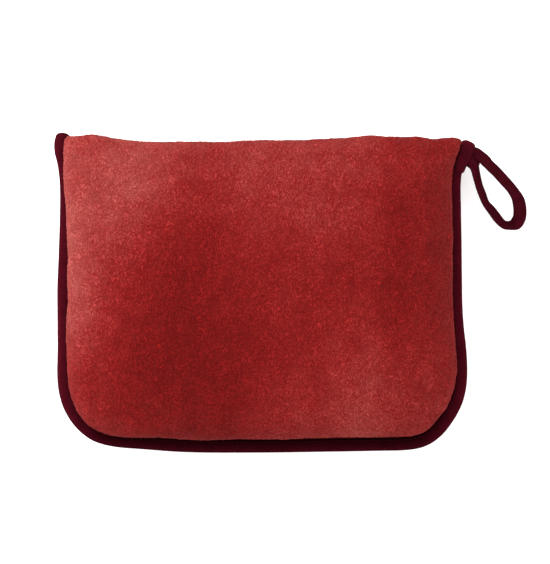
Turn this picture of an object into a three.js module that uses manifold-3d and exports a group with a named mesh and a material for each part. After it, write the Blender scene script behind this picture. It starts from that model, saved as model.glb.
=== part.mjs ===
// Packed travel blanket: a plush pouch lying on its back, bound on three sides and zipped along the fourth,
// with a carry loop at one end of the zip and a folded blanket inside.
//
// Millimetres. The origin is the centre of the flat resting face on the underside, X runs along the zip,
// Y runs from the bottom edge to the mouth and Z stands up from the surface that the pouch lies on.

import * as THREE from 'three';
import { mergeVertices } from 'three/addons/utils/BufferGeometryUtils.js';
import Module from 'manifold-3d';

const wasm = await Module();
wasm.setup();

// ---- Driving dimensions -------------------------------------------------------------------------------

// Pouch, measured over its binding and over the roll of its mouth
const POUCH_WIDTH = 286;
const POUCH_HEIGHT = 222;
const CORNER_RADIUS = 52;
const SEAM_HEIGHT = 33; // seam plane above the resting face
const CROWN_RISE = 39; // crown of the front panel above the seam plane

// Plush cloth and the gap that is kept between pieces that touch
const PLUSH = 3;
const FLANGE = 2; // plush pressed flat in the seam
const GAP = 0.3;

// Fold-over binding
const BINDING_WIDTH = 9;
const TAPE_THICKNESS = 1;

// Mouth: each lip rolls from its fold line over to the slot that holds the zip
const MOUTH_HALF = 30; // fold line above or below the seam plane
const LIP_REACH = 12;
const LIP_WAVE = 0.86; // share of a half wave that its bulge follows
const LIP_EASE = 1.2; // above 1, it leaves the fold line slowly and closes on the slot late
const MOUTH_SQUARENESS = 9; // the higher, the closer to its ends the mouth keeps its full height
const MOUTH_END_RISE = 2.6 * PLUSH; // past the slot, at its ends, so that the plush can turn over
const SLOT_HALF = 5;
const FLANGE_STOP = 6; // the side flanges end this far below the fold lines

// Zip
const COIL_WIDTH = 1.7;
const COIL_HEIGHT = 2;
const COIL_PART = 1.4; // gap that the slider's post runs in
const ZIP_TAPE_WIDTH = 12;
const ZIP_END_INSET = 6; // from the ends of the lips
const ZIP_TAPE_THICKNESS = 0.8;
const STOP_LENGTH = 1.4;
const SLIDER_LENGTH = 10;
const SLIDER_WIDTH = 7.4;
const SLIDER_PLATE = 1;
const BRIDGE_RISE = 2.9;
const PULL_LENGTH = 13;
const PULL_WIDTH = 5;
const PULL_THICKNESS = 1;

// Carry loop
const LOOP_TAPE_WIDTH = 9.5;
const LOOP_TAPE_THICKNESS = 2.2;
const LOOP_REACH = 54; // along the slope, from its neck to its bend
const LOOP_HALF_WIDTH = 10.4;
const LOOP_LAP = 2.5; // tape ends beside the neck
const LOOP_HEADING = -58.4; // degrees in plan, from +X
const LOOP_TIP_HEIGHT = 5.3; // middle of the tape above the surface, at the bend
const LOOP_TILT = 50; // degrees that the tape leans out of the loop's plane, at the bend
const NECK_LENGTH = 7;
const NECK_HALF_WIDTH = 4;
const NECK_THICKNESS = 5.6;
const ROOT_LENGTH = 16;
const ROOT_REACH = 5; // past the binding's outer edge
const ROOT_TOP = 2; // below the top of the binding
const ROOT_DROP = 14; // neck pivot below the top of the binding

// Folded blanket
const BLANKET_CORNER = 40;
const BLANKET_ROOM = 1; // to the plush at each fold line
const BLANKET_SIDE_ROOM = 1.6; // to the slider at either end of the zip
const BLANKET_FOOT = 19; // fold at the bottom, above the pouch's bottom edge
const BLANKET_HEAD = 5; // below the fold lines
const EDGE_TAPE_DEPTH = 3;
const EDGE_TAPE_HEIGHT = 5;
const EDGE_TAPE_LENGTH = 190;
const LABEL_WIDTH = 24;
const LABEL_LENGTH = 16;
const LABEL_THICKNESS = 0.6;
const LABEL_X = 40;
const LABEL_Y = 44;

// ---- Worked-out places --------------------------------------------------------------------------------

const HALF_WIDTH = POUCH_WIDTH / 2;
const HALF_HEIGHT = POUCH_HEIGHT / 2;
const FOLD_Y = HALF_HEIGHT - LIP_REACH; // fold lines of both lips
const FOOT_INSET = BINDING_WIDTH + 2 * GAP; // where the plush rises out of the binding
const LIP_END_X = HALF_WIDTH - FOOT_INSET;
const FLANGE_INSET = TAPE_THICKNESS + GAP;
const BINDING_HALF = GAP / 2 + FLANGE + GAP + TAPE_THICKNESS;
const LIP_TIP_Y = FOLD_Y + lipBulge(1);
const ZIP_TAPE_Y = LIP_TIP_Y - PLUSH - GAP - ZIP_TAPE_THICKNESS;
const COIL_Y = ZIP_TAPE_Y + ZIP_TAPE_THICKNESS + GAP;
const ZIP_END_X = LIP_END_X - ZIP_END_INSET;
const TOP_STOP_X = ZIP_END_X - STOP_LENGTH;
const COIL_RIGHT_X = TOP_STOP_X - GAP;
const SLIDER_X = COIL_RIGHT_X - GAP - SLIDER_LENGTH / 2;
const SLIDER_LEFT_X = PULL_LENGTH + GAP - LIP_END_X;
const COIL_LEFT_X = SLIDER_LEFT_X - SLIDER_LENGTH / 2 - GAP;
const BLANKET_HALF_WIDTH = -SLIDER_LEFT_X - SLIDER_LENGTH / 2 - BLANKET_SIDE_ROOM;
const BLANKET_THICKNESS = 2 * (MOUTH_HALF - PLUSH - BLANKET_ROOM);
const BLANKET_LENGTH = FOLD_Y - BLANKET_HEAD + HALF_HEIGHT - BLANKET_FOOT;

// ---- Materials ----------------------------------------------------------------------------------------

const plush = cloth('#a8383a', 0.95);
const binding = cloth('#3f0c16', 0.8);
const zipCloth = cloth('#4a1018', 0.85);
const nylon = cloth('#5a1620', 0.45);
const zinc = new THREE.MeshStandardMaterial({ color: '#8f8f8c', roughness: 0.35, metalness: 0.9 });
const satin = cloth('#e8e4dc', 0.5);

function cloth(color, roughness) {
  return new THREE.MeshStandardMaterial({ color, roughness, metalness: 0 });
}

// ---- Building blocks ----------------------------------------------------------------------------------

function closedGeometry(points, triangles) {
  let volume = 0;
  for (const [a, b, c] of triangles) {
    volume += points[a].dot(new THREE.Vector3().crossVectors(points[b], points[c]));
  }
  const faces = volume < 0 ? triangles.map(([a, b, c]) => [a, c, b]) : triangles;
  const geometry = new THREE.BufferGeometry();
  geometry.setAttribute('position', new THREE.Float32BufferAttribute(points.flatMap((p) => p.toArray()), 3));
  geometry.setIndex(faces.flat());
  return geometry;
}

// Closed skin through rings of equal length, from one pole to the other
function skin(firstPole, rings, lastPole) {
  const count = rings[0].length;
  const points = [firstPole, ...rings.flat(), lastPole];
  const last = points.length - 1;
  const triangles = [];
  for (let k = 0; k < count; k++) {
    const next = (k + 1) % count;
    triangles.push([0, 1 + k, 1 + next]);
    for (let ring = 0; ring < rings.length - 1; ring++) {
      const inner = 1 + ring * count;
      const outer = inner + count;
      triangles.push([inner + k, outer + k, outer + next], [inner + k, outer + next, inner + next]);
    }
    triangles.push([last, last - count + next, last - count + k]);
  }
  return closedGeometry(points, triangles);
}

// Closed body through stations { at, u, v }, with outline(i) in each station's u and v
function sweep(stations, outline) {
  const outlines = stations.map((_, i) => outline(i).map(([a, b]) => new THREE.Vector2(a, b)));
  if (THREE.ShapeUtils.isClockWise(outlines[0])) outlines.forEach((points) => points.reverse());
  const count = outlines[0].length;
  const points = stations.flatMap(({ at, u, v }, i) =>
    outlines[i].map((p) => at.clone().addScaledVector(u, p.x).addScaledVector(v, p.y)));
  const start = points.length - count;
  const triangles = [];
  for (let i = 0; i < stations.length - 1; i++) {
    for (let k = 0; k < count; k++) {
      const a = i * count + k;
      const b = i * count + ((k + 1) % count);
      triangles.push([a, b, b + count], [a, b + count, a + count]);
    }
  }
  for (const [a, b, c] of THREE.ShapeUtils.triangulateShape(outlines[0], [])) triangles.push([a, c, b]);
  for (const [a, b, c] of THREE.ShapeUtils.triangulateShape(outlines.at(-1), [])) {
    triangles.push([start + a, start + b, start + c]);
  }
  return closedGeometry(points, triangles);
}

// Stations along X, with u along Y and v along Z, so an outline is a [y, z] cross-section
function alongX(xs) {
  return xs.map((x) => ({
    at: new THREE.Vector3(x, 0, 0),
    u: new THREE.Vector3(0, 1, 0),
    v: new THREE.Vector3(0, 0, 1),
  }));
}

function rectangle(y0, y1, z0, z1) {
  return [[y0, z0], [y1, z0], [y1, z1], [y0, z1]];
}

function toManifold(geometry) {
  const plain = geometry.clone();
  plain.deleteAttribute('normal');
  plain.deleteAttribute('uv');
  const merged = mergeVertices(plain);
  return new wasm.Manifold(new wasm.Mesh({
    numProp: 3,
    vertProperties: merged.attributes.position.array,
    triVerts: new Uint32Array(merged.index.array),
  }));
}

function fromManifold(solid) {
  const { vertProperties, triVerts } = solid.getMesh();
  const geometry = new THREE.BufferGeometry();
  geometry.setAttribute('position', new THREE.BufferAttribute(vertProperties, 3));
  geometry.setIndex(new THREE.BufferAttribute(triVerts, 1));
  return geometry;
}

// Box from its lowest and highest corners
function box(low, high) {
  const size = high.map((value, i) => value - low[i]);
  const middle = high.map((value, i) => (value + low[i]) / 2);
  return new THREE.BoxGeometry(...size).translate(...middle);
}

function addPart(parent, name, geometry, material) {
  const mesh = new THREE.Mesh(geometry, material);
  mesh.name = name;
  parent.add(mesh);
  return mesh;
}

// ---- Pouch --------------------------------------------------------------------------------------------

// The three bound sides, from the top of the left side round to the top of the right one,
// as points { x, y } with their outward direction { nx, ny }
function boundSides(topY) {
  const centreX = HALF_WIDTH - CORNER_RADIUS;
  const centreY = CORNER_RADIUS - HALF_HEIGHT;
  const sideSteps = 5;
  const cornerSteps = 7;
  const bottomSteps = 6;
  const left = [];
  for (let i = 0; i < sideSteps; i++) {
    left.push({ x: -HALF_WIDTH, y: topY + ((centreY - topY) * i) / sideSteps, nx: -1, ny: 0 });
  }
  for (let i = 0; i <= cornerSteps; i++) {
    const angle = Math.PI + (Math.PI / 2) * (i / cornerSteps);
    const [nx, ny] = [Math.cos(angle), Math.sin(angle)];
    left.push({ x: CORNER_RADIUS * nx - centreX, y: centreY + CORNER_RADIUS * ny, nx, ny });
  }
  const bottom = [];
  for (let i = 1; i < bottomSteps; i++) {
    bottom.push({ x: centreX * ((2 * i) / bottomSteps - 1), y: -HALF_HEIGHT, nx: 0, ny: -1 });
  }
  const right = left.map((p) => ({ x: -p.x, y: p.y, nx: -p.nx, ny: p.ny })).reverse();
  return [...left, ...bottom, ...right];
}

// Half the height of the mouth at x: full along the middle, falling towards the side seams
function mouthHalf(x) {
  const end = SLOT_HALF + MOUTH_END_RISE;
  const share = Math.min(1, Math.abs(x / LIP_END_X));
  return end + (MOUTH_HALF - end) * Math.sqrt(1 - share ** MOUTH_SQUARENESS);
}

// Places along the mouth, closer together towards its ends
function mouthPlaces() {
  const steps = 14;
  return Array.from({ length: steps + 1 }, (_, i) => LIP_END_X * Math.sin(Math.PI * (i / steps - 0.5)));
}

// How far a lip stands past its fold line, at a share of its way round to the slot
function lipBulge(share) {
  return LIP_REACH * Math.sin(LIP_WAVE * Math.PI * share);
}

// The panel's rim: foot is where the plush rises, edge is the outer end of its flange
function panelRim() {
  const stations = boundSides(FOLD_Y - FLANGE_STOP).map(({ x, y, nx, ny }) => ({
    foot: [x - nx * FOOT_INSET, y - ny * FOOT_INSET],
    edge: [x - nx * FLANGE_INSET, y - ny * FLANGE_INSET],
    lift: 0,
  }));
  const topEdge = FOLD_Y - 2 * GAP;
  const roll = 1; // of the panel's top edge, below the fold line
  const corner = {
    foot: [LIP_END_X, topEdge - PLUSH / 2],
    edge: [LIP_END_X + GAP / 2, topEdge - PLUSH / 4],
    lift: 0,
  };
  stations.push(corner);
  for (const x of mouthPlaces().reverse()) {
    stations.push({ foot: [x, topEdge - roll], edge: [x, topEdge], lift: mouthHalf(x) });
  }
  const mirror = ([x, y]) => [-x, y];
  stations.push({ foot: mirror(corner.foot), edge: mirror(corner.edge), lift: 0 });
  return stations;
}

// Front (side = 1) or back (side = -1) panel: a plush shell with a flange in the seam.
// It swells from the rim to rise, the more steeply at the rim the higher its squareness, and flatShare
// is the share of the way out from the centre that stays level.
function panel(side, rise, squareness, flatShare) {
  const rim = panelRim();
  const shares = [0.3, 0.55, 0.72, 0.84, 0.92, 0.975];
  const z = (height) => SEAM_HEIGHT + side * height;
  const swell = (share, lift) => {
    const out = Math.max(0, (share - flatShare) / (1 - flatShare));
    return (1 - out ** squareness) ** (1 / (2 - lift / MOUTH_HALF));
  };
  const dome = (inset, low, crown) => shares.map((share) => rim.map(({ foot, lift }) => {
    const length = Math.hypot(...foot);
    const reach = share * (length - inset) / length;
    const base = lift ? lift - inset : low;
    return new THREE.Vector3(foot[0] * reach, foot[1] * reach, z(base + (crown - base) * swell(share, lift)));
  }));
  const ring = (place, height) => rim.map((station) =>
    new THREE.Vector3(...place(station), z(height(station))));
  const inward = ({ foot }) => foot.map((value) => value * (1 - PLUSH / Math.hypot(...foot)));
  const top = GAP / 2 + FLANGE;
  const outside = dome(0, top, rise);
  const inside = dome(PLUSH, GAP / 2, rise - PLUSH).reverse();
  return skin(new THREE.Vector3(0, 0, z(rise)), [
    ...outside,
    ring((s) => s.foot, ({ lift }) => lift || top),
    ring((s) => s.edge, ({ lift }) => lift || top),
    ring((s) => s.edge, ({ lift }) => (lift ? lift - PLUSH : GAP / 2)),
    ring(inward, ({ lift }) => (lift ? lift - PLUSH : GAP / 2)),
    ...inside,
  ], new THREE.Vector3(0, 0, z(rise - PLUSH)));
}

// Tape folded over the edge of both panels: a channel that opens inwards
function edgeBinding() {
  const stations = boundSides(HALF_HEIGHT).map(({ x, y, nx, ny }) => ({
    at: new THREE.Vector3(x, y, SEAM_HEIGHT),
    u: new THREE.Vector3(nx, ny, 0),
    v: new THREE.Vector3(0, 0, 1),
  }));
  return sweep(stations, () => channel(0, BINDING_WIDTH, BINDING_HALF, TAPE_THICKNESS));
}

// Channel section with its back at u = back and its mouth towards -u
function channel(back, depth, half, wall) {
  const mouth = back - depth;
  const soft = wall; // the fold is rounded by one wall
  return [
    [mouth, half], [back - soft, half], [back, half - soft], [back, soft - half], [back - soft, -half],
    [mouth, -half], [mouth, wall - half], [back - wall, wall - half],
    [back - wall, half - wall], [mouth, half - wall],
  ];
}

// ---- Mouth lips and zip -------------------------------------------------------------------------------

// Lip: the plush rolled over from the fold line to the slot
function lip(side) {
  const steps = 6;
  const section = (x) => {
    const fold = mouthHalf(x);
    const outer = [];
    const inner = [];
    for (let k = 0; k <= steps; k++) {
      const share = k / steps;
      const y = FOLD_Y + lipBulge(share);
      const height = fold + (SLOT_HALF - fold) * share ** LIP_EASE;
      const turn = share * Math.PI / 2;
      outer.push([y, SEAM_HEIGHT + side * height]);
      inner.push([y - PLUSH * Math.sin(turn), SEAM_HEIGHT + side * (height - PLUSH * Math.cos(turn))]);
    }
    return [...outer, ...inner.reverse()];
  };
  const xs = mouthPlaces();
  return sweep(alongX(xs), (i) => section(xs[i]));
}

function zipStrip(side, x0, x1, y0, y1, z0, z1) {
  const far = SEAM_HEIGHT + side * z1;
  const near = SEAM_HEIGHT + side * z0;
  return sweep(alongX([x0, x1]), () => rectangle(y0, y1, Math.min(near, far), Math.max(near, far)));
}

function zipTape(side) {
  const top = ZIP_TAPE_Y + ZIP_TAPE_THICKNESS;
  return zipStrip(side, -ZIP_END_X, ZIP_END_X, ZIP_TAPE_Y, top, COIL_PART / 2, ZIP_TAPE_WIDTH);
}

function zipCoil(side) {
  const outer = COIL_PART / 2 + COIL_WIDTH;
  return zipStrip(side, COIL_LEFT_X, COIL_RIGHT_X, COIL_Y, COIL_Y + COIL_HEIGHT, COIL_PART / 2, outer);
}

function topStop(side) {
  const end = TOP_STOP_X + STOP_LENGTH;
  const outer = COIL_PART / 2 + COIL_WIDTH;
  return zipStrip(side, TOP_STOP_X, end, COIL_Y, COIL_Y + COIL_HEIGHT, COIL_PART / 2, outer);
}

function bottomStop() {
  const x = COIL_LEFT_X - GAP;
  const half = COIL_PART / 2 + COIL_WIDTH;
  return sweep(alongX([x - STOP_LENGTH, x]), () =>
    rectangle(COIL_Y, COIL_Y + COIL_HEIGHT, SEAM_HEIGHT - half, SEAM_HEIGHT + half));
}

// Slider, about the middle of its length on the mouth's centre line, with Y measured from FOLD_Y:
// two plates round both coils, a post between the coils, side flanges and the bridge for the pull
const SLIDER_TOP_Y = COIL_Y + COIL_HEIGHT + GAP - FOLD_Y; // underside of the top plate

function slider() {
  const half = SLIDER_LENGTH / 2;
  const wide = SLIDER_WIDTH / 2;
  const post = COIL_PART / 2 - GAP;
  const bottom = ZIP_TAPE_Y - GAP - SLIDER_PLATE - FOLD_Y;
  const top = SLIDER_TOP_Y + SLIDER_PLATE;
  const bridgeHalf = 1;
  const wall = 1;
  const solids = [
    box([-half, bottom, -wide], [half, bottom + SLIDER_PLATE, wide]),
    box([-half, SLIDER_TOP_Y, -wide], [half, top, wide]),
    box([half - 2 * wall, bottom, -post], [half, top, post]),
    box([-half, COIL_Y - FOLD_Y, wide - wall], [half, top, wide]),
    box([-half, COIL_Y - FOLD_Y, -wide], [half, top, wall - wide]),
    box([-half + wall, SLIDER_TOP_Y, -bridgeHalf], [-half + 2 * wall, top + BRIDGE_RISE, bridgeHalf]),
    box([half - 2 * wall, SLIDER_TOP_Y, -bridgeHalf], [half - wall, top + BRIDGE_RISE, bridgeHalf]),
    box([-half + wall, top + BRIDGE_RISE - wall, -bridgeHalf], [half - wall, top + BRIDGE_RISE, bridgeHalf]),
  ];
  return fromManifold(solids.map(toManifold).reduce((joined, solid) => joined.add(solid)));
}

// Pull tab: a plate with a window round the bridge and a hole at its free end, from its pivot towards +X
function pullTab() {
  const half = PULL_WIDTH / 2;
  const bar = PULL_THICKNESS / 2;
  const arm = 0.9;
  const windowLength = SLIDER_LENGTH / 2;
  const outline = new THREE.Shape();
  outline.moveTo(-bar, -half);
  outline.lineTo(PULL_LENGTH - half, -half);
  outline.absarc(PULL_LENGTH - half, 0, half, -Math.PI / 2, Math.PI / 2, false);
  outline.lineTo(-bar, half);
  outline.closePath();
  const gate = new THREE.Path();
  gate.moveTo(bar, arm - half);
  gate.lineTo(windowLength, arm - half);
  gate.lineTo(windowLength, half - arm);
  gate.lineTo(bar, half - arm);
  gate.closePath();
  const hole = new THREE.Path();
  hole.absarc(PULL_LENGTH - half, 0, half / 2, 0, 2 * Math.PI, false);
  outline.holes.push(gate, hole);
  const cut = { depth: PULL_THICKNESS, bevelEnabled: false, curveSegments: 8 };
  const plate = new THREE.ExtrudeGeometry(outline, cut);
  plate.translate(0, 0, -PULL_THICKNESS / 2).rotateX(Math.PI / 2);
  return fromManifold(toManifold(plate));
}

// ---- Carry loop ---------------------------------------------------------------------------------------

const HEADING = THREE.MathUtils.degToRad(LOOP_HEADING);
const NECK_PIVOT = new THREE.Vector3(
  HALF_WIDTH + ROOT_REACH + GAP + NECK_HALF_WIDTH, HALF_HEIGHT - ROOT_DROP, SEAM_HEIGHT);

// Tape doubled over the top of the side binding
function loopRoot() {
  const back = HALF_WIDTH + ROOT_REACH;
  const inner = BINDING_HALF + GAP;
  const outer = inner + LOOP_TAPE_THICKNESS;
  const front = HALF_WIDTH - BINDING_WIDTH / 2;
  const section = [
    [front, outer], [back, outer], [back, -outer], [front, -outer],
    [front, -inner], [HALF_WIDTH + GAP, -inner], [HALF_WIDTH + GAP, inner], [front, inner],
  ];
  const station = (y) => ({
    at: new THREE.Vector3(0, y, SEAM_HEIGHT), u: new THREE.Vector3(1, 0, 0), v: new THREE.Vector3(0, 0, 1),
  });
  const top = HALF_HEIGHT - ROOT_TOP;
  return sweep([station(top - ROOT_LENGTH), station(top)], () => section);
}

// Stitched neck: round at its pivot, so that it can swing beside the root
function loopNeck() {
  const outline = new THREE.Shape();
  outline.moveTo(NECK_LENGTH - GAP, -NECK_HALF_WIDTH);
  outline.lineTo(NECK_LENGTH - GAP, NECK_HALF_WIDTH);
  outline.lineTo(0, NECK_HALF_WIDTH);
  outline.absarc(0, 0, NECK_HALF_WIDTH, Math.PI / 2, (3 * Math.PI) / 2, false);
  outline.closePath();
  const cut = { depth: NECK_THICKNESS, bevelEnabled: false, curveSegments: 10 };
  const block = new THREE.ExtrudeGeometry(outline, cut);
  block.translate(0, 0, -NECK_THICKNESS / 2);
  return fromManifold(toManifold(block));
}

// The loop itself, in its own plane: X down its slope from the lift hinge, Y across it.
// The tape runs out on one side of the neck, round the bend and back on the other side.
function carryLoop() {
  const bendCentre = LOOP_REACH - LOOP_HALF_WIDTH;
  const rootHalfWidth = NECK_HALF_WIDTH + GAP + LOOP_TAPE_THICKNESS / 2;
  const outgoing = [];
  const strandSteps = 8;
  for (let i = 0; i < strandSteps; i++) {
    const share = i / strandSteps;
    const spread = Math.sin((share * Math.PI) / 2) ** 2;
    const across = rootHalfWidth + (LOOP_HALF_WIDTH - rootHalfWidth) * spread;
    outgoing.push(new THREE.Vector3(share * (bendCentre + LOOP_LAP) - LOOP_LAP, across, 0));
  }
  const bend = [];
  const bendSteps = 8;
  for (let i = 0; i <= bendSteps; i++) {
    const angle = Math.PI / 2 - (Math.PI * i) / bendSteps;
    const [dx, dy] = [Math.cos(angle), Math.sin(angle)];
    bend.push(new THREE.Vector3(bendCentre + LOOP_HALF_WIDTH * dx, LOOP_HALF_WIDTH * dy, 0));
  }
  const returning = outgoing.map((p) => new THREE.Vector3(p.x, -p.y, 0)).reverse();
  const route = [...outgoing, ...bend, ...returning];
  const last = route.length - 1;
  const up = new THREE.Vector3(0, 0, 1);
  const stations = route.map((at, i) => {
    const along = new THREE.Vector3(i === 0 ? 1 : -1, 0, 0);
    if (i > 0 && i < last) along.subVectors(route[i + 1], route[i - 1]).normalize();
    const outward = new THREE.Vector3().crossVectors(along, up);
    const tilt = THREE.MathUtils.degToRad(LOOP_TILT) * Math.sin((Math.PI * i) / last);
    const u = up.clone().multiplyScalar(Math.cos(tilt)).addScaledVector(outward, Math.sin(tilt));
    return { at, u, v: new THREE.Vector3().crossVectors(u, along).normalize() };
  });
  const w = LOOP_TAPE_WIDTH / 2;
  const t = LOOP_TAPE_THICKNESS / 2;
  return sweep(stations, () => [[-w, -t], [w, -t], [w, t], [-w, t]]);
}

// ---- Blanket ------------------------------------------------------------------------------------------

const BLANKET_MIDDLE_Y = BLANKET_FOOT - HALF_HEIGHT + BLANKET_LENGTH / 2;

// The folded blanket: a crowned block with round corners and rounded folds
function foldedBlanket() {
  const halfLength = BLANKET_LENGTH / 2;
  const squareness = 8;
  const cornerSteps = 6;
  const plan = [];
  for (const [sx, sy, start] of [[1, 1, 0], [-1, 1, 90], [-1, -1, 180], [1, -1, 270]]) {
    for (let i = 0; i <= cornerSteps; i++) {
      const angle = THREE.MathUtils.degToRad(start + (90 * i) / cornerSteps);
      plan.push([
        sx * (BLANKET_HALF_WIDTH - BLANKET_CORNER) + BLANKET_CORNER * Math.cos(angle),
        sy * (halfLength - BLANKET_CORNER) + BLANKET_CORNER * Math.sin(angle),
      ]);
    }
  }
  const ring = (share, side) => plan.map(([x, y]) => new THREE.Vector3(
    x * share,
    BLANKET_MIDDLE_Y + y * share,
    SEAM_HEIGHT + side * (BLANKET_THICKNESS / 2) * Math.sqrt(1 - share ** squareness),
  ));
  const shares = [0.6, 0.8, 0.91, 0.97];
  const pole = (side) => new THREE.Vector3(0, BLANKET_MIDDLE_Y, SEAM_HEIGHT + side * BLANKET_THICKNESS / 2);
  return skin(pole(1), [
    ...shares.map((share) => ring(share, 1)),
    ring(1, 0),
    ...shares.map((share) => ring(share, -1)).reverse(),
  ], pole(-1));
}

function edgeTape() {
  const y = BLANKET_MIDDLE_Y + BLANKET_LENGTH / 2 + GAP;
  const half = EDGE_TAPE_HEIGHT / 2;
  return sweep(alongX([-EDGE_TAPE_LENGTH / 2, EDGE_TAPE_LENGTH / 2]), () =>
    rectangle(y, y + EDGE_TAPE_DEPTH, SEAM_HEIGHT - half, SEAM_HEIGHT + half));
}

function careLabel() {
  const z = SEAM_HEIGHT + BLANKET_THICKNESS / 2 + GAP;
  return toPlain(box(
    [LABEL_X - LABEL_WIDTH / 2, LABEL_Y - LABEL_LENGTH / 2, z],
    [LABEL_X + LABEL_WIDTH / 2, LABEL_Y + LABEL_LENGTH / 2, z + LABEL_THICKNESS],
  ));
}

function toPlain(geometry) {
  return fromManifold(toManifold(geometry));
}

// ---- Assembly -----------------------------------------------------------------------------------------

const group = new THREE.Group();

const frontSquareness = 4.5;
const backSquareness = 2.6;
const restingShare = 0.55;
addPart(group, 'pouch_front_panel', panel(1, CROWN_RISE, frontSquareness, 0), plush);
addPart(group, 'pouch_back_panel', panel(-1, SEAM_HEIGHT, backSquareness, restingShare), plush);
addPart(group, 'edge_binding', edgeBinding(), binding);

for (const [where, side] of [['front', 1], ['back', -1]]) {
  addPart(group, `mouth_lip_${where}`, lip(side), plush);
  addPart(group, `zip_tape_${where}`, zipTape(side), zipCloth);
  addPart(group, `zip_coil_${where}`, zipCoil(side), nylon);
  addPart(group, `zip_top_stop_${where}`, topStop(side), zinc);
}
addPart(group, 'zip_bottom_stop', bottomStop(), zinc);

const zipSlider = new THREE.Group();
zipSlider.position.set(SLIDER_X, FOLD_Y, SEAM_HEIGHT);
addPart(zipSlider, 'zip_slider', slider(), zinc);
const pull = addPart(zipSlider, 'zip_pull_tab', pullTab(), zinc);
const bridgeClear = (BRIDGE_RISE - 1) / 2; // middle of the space under the bridge's bar
pull.position.y = SLIDER_TOP_Y + SLIDER_PLATE + bridgeClear;
group.add(zipSlider);

addPart(group, 'loop_root', loopRoot(), binding);
const neck = new THREE.Group();
neck.position.copy(NECK_PIVOT);
neck.rotation.z = HEADING;
addPart(neck, 'loop_neck', loopNeck(), binding);
const loop = addPart(neck, 'carry_loop', carryLoop(), binding);
loop.position.x = NECK_LENGTH;
loop.rotation.y = Math.asin((SEAM_HEIGHT - LOOP_TIP_HEIGHT) / LOOP_REACH);
group.add(neck);

addPart(group, 'folded_blanket', foldedBlanket(), plush);
addPart(group, 'blanket_edge_tape', edgeTape(), binding);
addPart(group, 'care_label', careLabel(), satin);

export default group;
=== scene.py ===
import math

import bpy
import numpy as np
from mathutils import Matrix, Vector


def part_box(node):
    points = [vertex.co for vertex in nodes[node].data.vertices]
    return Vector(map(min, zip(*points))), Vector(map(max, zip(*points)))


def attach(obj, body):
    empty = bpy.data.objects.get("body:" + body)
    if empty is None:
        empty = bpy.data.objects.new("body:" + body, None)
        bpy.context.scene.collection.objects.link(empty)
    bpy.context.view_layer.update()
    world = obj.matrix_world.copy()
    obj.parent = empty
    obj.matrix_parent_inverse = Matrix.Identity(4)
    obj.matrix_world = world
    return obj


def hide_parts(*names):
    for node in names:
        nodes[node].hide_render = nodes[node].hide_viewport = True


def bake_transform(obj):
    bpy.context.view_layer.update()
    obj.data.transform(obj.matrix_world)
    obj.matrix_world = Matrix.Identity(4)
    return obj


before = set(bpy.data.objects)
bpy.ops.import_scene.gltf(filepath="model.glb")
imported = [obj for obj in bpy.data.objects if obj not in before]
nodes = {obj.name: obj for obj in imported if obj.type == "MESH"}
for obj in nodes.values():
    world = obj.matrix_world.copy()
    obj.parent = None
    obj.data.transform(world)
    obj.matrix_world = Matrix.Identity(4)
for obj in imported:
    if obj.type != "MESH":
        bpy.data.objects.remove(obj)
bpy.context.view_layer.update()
scene = bpy.context.scene

# All lengths below are in millimetres until a mesh is made.
MM = 0.001
SEAM = 33.0  # height of the side seam, where front and back meet

# ---- Camera: straight down on the pouch, which lies on its back with its mouth towards +Y ----

VIEW_X, VIEW_Y = 9.6, 9.6  # what the frame is centred on
CAMERA_DISTANCE = 3000.0
FRAME_HEIGHT = 399.9  # what the frame takes in at the seam's height
SENSOR = 36.0

camera = bpy.data.objects.new("camera", bpy.data.cameras.new("camera"))
camera.data.sensor_width = SENSOR
camera.data.lens = SENSOR * CAMERA_DISTANCE / FRAME_HEIGHT
camera.data.clip_end = 50.0
camera.location = (VIEW_X * MM, VIEW_Y * MM, (SEAM + CAMERA_DISTANCE) * MM)
scene.collection.objects.link(camera)
scene.camera = camera
scene.view_settings.view_transform = "Standard"

# ---- Sizes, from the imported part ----


def cad(node):
    low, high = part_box(node)
    return np.array(low) / MM, np.array(high) / MM


FOLD_Y = cad("mouth_lip_front")[0][1]  # hinge lines of the lips
FOLD_HALF = cad("mouth_lip_front")[1][2] - SEAM
CROWN = {1: cad("pouch_front_panel")[1][2] - SEAM, -1: SEAM - 0.25}
SLOT_HALF = 5.0  # half the gap between the lips, where the zip is
RIM_HALF = 13.0  # widest part of the plush, above or below the seam
LOWEST = 0.3  # nothing of the plush goes under the surface that it lies on
CORNER_IN, CORNER_OUT = 98.0, 122.0  # the lips are sewn fast beyond this

# ---- Noise ----


def hashed(ix, iy, iz, seed):
    h = (ix * 374761393 + iy * 668265263 + iz * 1442695041 + seed * 1274126177) & 0xFFFFFFFF
    h = ((h ^ (h >> 13)) * 1274126177) & 0xFFFFFFFF
    h = ((h ^ (h >> 16)) * 668265263) & 0xFFFFFFFF
    return h ^ (h >> 15)


def noise(points, size, seed):
    """Gradient noise from about -1 to 1."""
    q = points / size + seed * 17.31
    base = np.floor(q).astype(np.int64)
    f = q - base
    fade = f * f * f * (f * (f * 6 - 15) + 10)
    total = np.zeros(len(points))
    for corner in range(8):
        o = np.array([corner & 1, corner >> 1 & 1, corner >> 2 & 1])
        h = hashed(base[:, 0] + o[0], base[:, 1] + o[1], base[:, 2] + o[2], seed)
        gradient = np.stack([(h & 1023), (h >> 10 & 1023), (h >> 20 & 1023)], 1) / 511.5 - 1
        weight = np.prod(np.where(o, fade, 1 - fade), axis=1)
        total += weight * ((f - o) * gradient).sum(1)
    return total * 1.4


def noise_vector(points, size, seeds):
    """Three noises at once, one for each axis."""
    return np.stack([noise(points, size, seed) for seed in seeds], 1)


def lumps(points):
    """Soft unevenness of a stuffed pouch."""
    return 1.5 * noise(points, 46, 3) + 0.8 * noise(points, 21, 4) + 0.35 * noise(points, 9, 5)


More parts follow.
